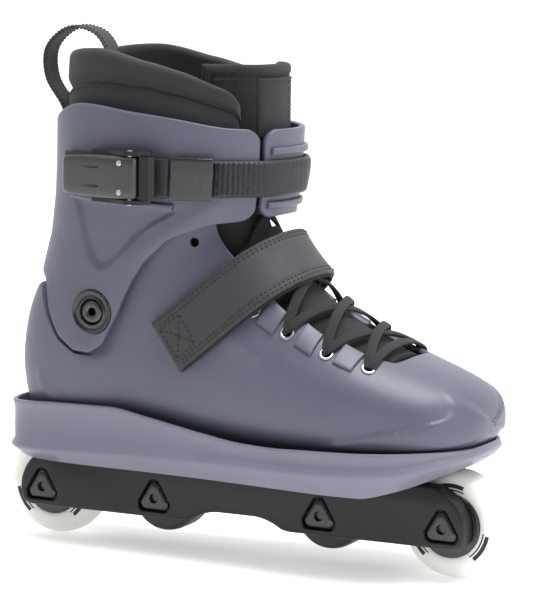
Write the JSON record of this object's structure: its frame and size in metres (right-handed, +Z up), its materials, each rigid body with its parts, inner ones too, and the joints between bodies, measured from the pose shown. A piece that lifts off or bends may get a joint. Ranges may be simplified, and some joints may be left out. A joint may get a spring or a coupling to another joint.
{
  "type": "inline skate",
  "caption": "Right-foot inline skate: hard boot with hinged cuff and ratchet buckle, padded liner, sole plate, grooved frame, wheels on bearings.",
  "frame": {"origin": "on the ground, midway between the outer axles, on the centre line of the wheels", "axes": "+X towards the toe, +Y towards the inner side of a right foot, +Z up"},
  "size_m": [0.308, 0.1202, 0.2939],
  "materials": {
    "boot_plastic": "satin moulded plastic, slate grey-violet",
    "plate_plastic": "satin moulded plastic, lighter grey-violet",
    "black_plastic": "moulded plastic, black, fine grain",
    "black_gloss": "smooth black plastic",
    "white_urethane": "cast urethane, off-white, satin",
    "black_urethane": "cast urethane, black",
    "steel": "turned steel",
    "black_steel": "black oxide steel",
    "liner_fabric": "padded knitted fabric, black",
    "webbing": "woven webbing, black",
    "foam": "moulded foam"
  },
  "bodies": {
    "chassis": {"axle_bolt_front": "black_gloss", "axle_bolt_mid_front": "black_gloss", "axle_bolt_mid_rear": "black_gloss", "axle_bolt_rear": "black_gloss", "axle_sleeve_front": "steel", "axle_sleeve_mid_front": "steel", "axle_sleeve_mid_rear": "steel", "axle_sleeve_rear": "steel", "boot_shell": "boot_plastic", "cuff_bolt_inner": "black_steel", "cuff_bolt_outer": "black_steel", "cuff_bush_inner": "black_gloss", "cuff_bush_outer": "black_gloss", "cuff_nut_inner": "steel", "cuff_nut_outer": "steel", "frame": "black_plastic", "frame_bolt_front": "black_steel", "frame_bolt_rear": "black_steel", "frame_nut_front": "steel", "frame_nut_rear": "steel", "insole": "foam", "instep_strap": "webbing", "liner_foot": "liner_fabric", "shell_lace": "webbing", "sole_plate": "plate_plastic", "spacer_front": "steel", "spacer_mid_front": "steel", "spacer_mid_rear": "steel", "spacer_rear": "steel", "strap_keeper": "black_plastic", "tongue_lower": "liner_fabric"},
    "cuff_body": {"cuff": "boot_plastic", "liner_collar": "liner_fabric", "tongue_upper": "liner_fabric", "pull_loop": "webbing", "buckle_base": "black_plastic", "buckle_nose": "black_plastic", "buckle_rail_low": "black_plastic", "buckle_rail_high": "black_plastic", "ladder_strap": "black_plastic", "ladder_screw": "black_steel", "lever_pin": "steel"},
    "lever_body": {"buckle_lever": "black_gloss"},
    "pawl_body": {"ratchet_pawl": "black_plastic"},
    "wheel_rear": {"tyre_rear": "white_urethane", "core_rear": "black_gloss", "bearing_rear_outer": "steel", "bearing_rear_inner": "steel"},
    "wheel_mid_rear": {"small_wheel_mid_rear": "black_urethane", "bearing_mid_rear_outer": "steel", "bearing_mid_rear_inner": "steel"},
    "wheel_mid_front": {"small_wheel_mid_front": "black_urethane", "bearing_mid_front_outer": "steel", "bearing_mid_front_inner": "steel"},
    "wheel_front": {"tyre_front": "white_urethane", "core_front": "black_gloss", "bearing_front_outer": "steel", "bearing_front_inner": "steel"}
  },
  "joints": [
    {"name": "wheel_rear_spin", "type": "hinge", "parent": "chassis", "child": "wheel_rear", "pos_m": [-0.124, 0, 0.03], "axis": [0, 1, 0], "continuous": true},
    {"name": "wheel_mid_rear_spin", "type": "hinge", "parent": "chassis", "child": "wheel_mid_rear", "pos_m": [-0.0512, 0, 0.03], "axis": [0, 1, 0], "continuous": true},
    {"name": "wheel_mid_front_spin", "type": "hinge", "parent": "chassis", "child": "wheel_mid_front", "pos_m": [0.0512, 0, 0.03], "axis": [0, 1, 0], "continuous": true},
    {"name": "wheel_front_spin", "type": "hinge", "parent": "chassis", "child": "wheel_front", "pos_m": [0.124, 0, 0.03], "axis": [0, 1, 0], "continuous": true},
    {"name": "cuff_flex", "type": "hinge", "parent": "chassis", "child": "cuff_body", "pos_m": [-0.0805, 0, 0.1366], "axis": [0, 1, 0], "range_deg": [0, 4]},
    {"name": "buckle_lever_open", "type": "hinge", "parent": "cuff_body", "child": "lever_body", "pos_m": [-0.047, -0.0615, 0.2145], "axis": [0, 0, 1], "range_deg": [0, 100]},
    {"name": "pawl_release", "type": "hinge", "parent": "cuff_body", "child": "pawl_body", "pos_m": [-0.0408, -0.0602, 0.2145], "axis": [0, 0, -1], "range_deg": [0, 12], "stiffness_Nm_per_rad": 0.03}
  ]
}
